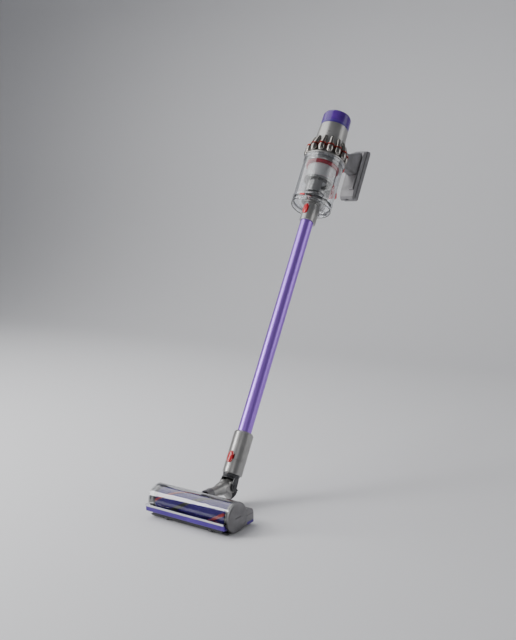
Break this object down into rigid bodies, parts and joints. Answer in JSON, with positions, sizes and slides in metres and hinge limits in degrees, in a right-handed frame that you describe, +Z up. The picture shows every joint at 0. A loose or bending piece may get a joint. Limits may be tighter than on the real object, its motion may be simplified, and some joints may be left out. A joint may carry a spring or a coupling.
{
  "type": "cordless stick vacuum",
  "caption": "Cordless stick vacuum with a cyclone body, clear dust bin, filter, grip with battery, purple wand and a motorised floor head on a two-axis neck.",
  "frame": {"origin": "on the floor, in the middle of the floor head's felt glide strip", "axes": "+X along the floor head towards its turning end cap, +Y rearwards towards the wand and grip, +Z up"},
  "size_m": [0.25, 0.9149, 1.0479],
  "materials": {
    "abs_dark_grey": "dark grey moulded ABS",
    "abs_mid_grey": "mid-grey moulded ABS with a fine grain",
    "abs_satin_grey": "satin silver-grey moulded ABS",
    "anodised_purple": "purple anodised aluminium tube",
    "black_rubber": "black flexible rubber",
    "board_green": "circuit board",
    "bright_steel": "bright steel",
    "bristle_red": "stiff red nylon bristle",
    "carbon_black": "black carbon-fibre filament",
    "cell_green": "battery cell sleeve",
    "chrome_cyclone": "bright nickel-chrome on the cyclones",
    "clear_plastic": "clear polycarbonate",
    "copper_coils": "motor with copper windings",
    "copper_red_trim": "copper-red metallic trim plate",
    "felt_black": "felt",
    "light_white": "charge light lenses",
    "lip_silver": "silver-white strip",
    "mesh_steel": "fine perforated steel",
    "plush_purple": "soft woven nylon pile",
    "purple_clear": "translucent purple polycarbonate",
    "purple_pleat": "pleated filter cloth",
    "purple_solid": "purple ABS",
    "red_plastic": "red ABS of the touch points",
    "red_rubber": "red seal"
  },
  "bodies": {
    "main_body": {"inlet_duct": "abs_satin_grey", "shroud_mesh": "mesh_steel", "shroud_seal": "red_rubber", "shroud_collar": "abs_satin_grey", "cyclone_cones": "chrome_cyclone", "cyclone_trim": "copper_red_trim", "cyclone_fingers": "chrome_cyclone", "motor_housing": "abs_satin_grey", "motor_can": "copper_coils", "grip_left": "abs_mid_grey", "grip_right": "abs_mid_grey", "control_board": "board_green", "battery_outer_shell": "abs_mid_grey", "battery_inner_shell": "abs_mid_grey", "battery_cells": "cell_green", "battery_lights": "light_white", "bin_runner": "abs_dark_grey"},
    "rotor": {"motor_rotor": "bright_steel", "impeller": "abs_dark_grey"},
    "filter_unit": {"filter_band": "purple_solid", "filter_cap": "purple_clear", "filter_pleats": "purple_pleat"},
    "trigger": {"trigger": "red_plastic"},
    "mode_slider": {"mode_slider": "abs_dark_grey"},
    "bin_lever": {"bin_lever": "red_plastic"},
    "bin": {"bin_cylinder": "clear_plastic", "bin_rims": "clear_plastic", "bin_rail": "abs_dark_grey", "bin_hinge_pin": "bright_steel"},
    "bin_flap": {"bin_flap": "clear_plastic", "inlet_socket": "abs_satin_grey", "flap_seal": "black_rubber", "flap_catch": "red_plastic"},
    "wand": {"wand_tube": "anodised_purple", "wand_socket": "abs_satin_grey", "wand_top_collar": "abs_satin_grey", "wand_cable": "black_rubber"},
    "wand_button": {"wand_button": "red_plastic"},
    "neck_cuff": {"neck_cone": "abs_dark_grey", "cuff_shell": "abs_satin_grey"},
    "cuff_button": {"cuff_button": "red_plastic"},
    "neck_arm": {"neck_arm": "abs_mid_grey", "neck_bellows": "black_rubber", "pitch_pins": "abs_dark_grey"},
    "head": {"head_frame": "abs_mid_grey", "head_cover": "clear_plastic", "front_lip": "lip_silver", "front_bumper": "purple_solid", "sole_plate": "abs_dark_grey", "felt_strip": "felt_black", "head_steelware": "bright_steel", "left_end_cap": "abs_dark_grey", "brush_motor": "bright_steel"},
    "right_cap": {"right_end_cap": "abs_mid_grey"},
    "brush_bar": {"brush_tube": "purple_solid", "brush_plush": "plush_purple", "red_bristles": "bristle_red", "carbon_strips": "carbon_black"},
    "front_wheels": {"front_wheels": "black_rubber"},
    "rear_wheels": {"rear_wheels": "black_rubber"}
  },
  "joints": [
    {"name": "rotor_spin", "type": "hinge", "parent": "main_body", "child": "rotor", "pos_m": [0, 0.587, 0.93735], "axis": [0, 0.5, 0.866], "continuous": true},
    {"name": "filter_twist", "type": "hinge", "parent": "main_body", "child": "filter_unit", "pos_m": [0, 0.627, 1.00663], "axis": [0, 0.5, 0.866], "range_deg": [0, 35]},
    {"name": "trigger_pull", "type": "slide", "parent": "main_body", "child": "trigger", "axis": [0, 0.5, 0.866], "range_m": [0, 0.005], "stiffness_N_per_m": 400, "springref_m": -0.002},
    {"name": "mode_slide", "type": "slide", "parent": "main_body", "child": "mode_slider", "axis": [1, 0, 0], "range_m": [-0.006, 0.006]},
    {"name": "bin_lever_slide", "type": "slide", "parent": "main_body", "child": "bin_lever", "axis": [0, -0.5, -0.866], "range_m": [0, 0.012], "stiffness_N_per_m": 400, "springref_m": -0.004},
    {"name": "bin_slide", "type": "slide", "parent": "main_body", "child": "bin", "axis": [0, -0.5, -0.866], "range_m": [0, 0.045]},
    {"name": "bin_flap_hinge", "type": "hinge", "parent": "bin", "child": "bin_flap", "pos_m": [0, 0.54659, 0.73955], "axis": [1, 0, 0], "range_deg": [0, 90]},
    {"name": "wand_slide", "type": "slide", "parent": "bin_flap", "child": "wand", "axis": [0, -0.5, -0.866], "range_m": [0, 0.055]},
    {"name": "wand_button_press", "type": "slide", "parent": "wand", "child": "wand_button", "axis": [0.0872, 0.8627, -0.4981], "range_m": [0, 0.0025], "stiffness_N_per_m": 400, "springref_m": -0.002},
    {"name": "neck_slide", "type": "slide", "parent": "wand", "child": "neck_cuff", "axis": [0, -0.5, -0.866], "range_m": [0, 0.055]},
    {"name": "cuff_button_press", "type": "slide", "parent": "neck_cuff", "child": "cuff_button", "axis": [0.0872, 0.8627, -0.4981], "range_m": [0, 0.0025], "stiffness_N_per_m": 400, "springref_m": -0.002},
    {"name": "neck_pitch", "type": "hinge", "parent": "neck_cuff", "child": "neck_arm", "pos_m": [0, 0.077, 0.054], "axis": [1, 0, 0], "range_deg": [-30, 40], "deforming": ["neck_bellows"]},
    {"name": "neck_roll", "type": "hinge", "parent": "neck_arm", "child": "head", "pos_m": [0, 0, 0.054], "axis": [0, 1, 0], "range_deg": [-45, 45]},
    {"name": "end_cap_turn", "type": "hinge", "parent": "head", "child": "right_cap", "pos_m": [0.12, -0.05, 0.035], "axis": [1, 0, 0], "range_deg": [0, 45]},
    {"name": "brush_spin", "type": "hinge", "parent": "head", "child": "brush_bar", "pos_m": [0, -0.05, 0.035], "axis": [1, 0, 0], "continuous": true},
    {"name": "front_wheels_roll", "type": "hinge", "parent": "head", "child": "front_wheels", "pos_m": [0, -0.081, 0.0063], "axis": [1, 0, 0], "continuous": true},
    {"name": "rear_wheels_roll", "type": "hinge", "parent": "head", "child": "rear_wheels", "pos_m": [0, 0.0025, 0.0083], "axis": [1, 0, 0], "continuous": true}
  ]
}
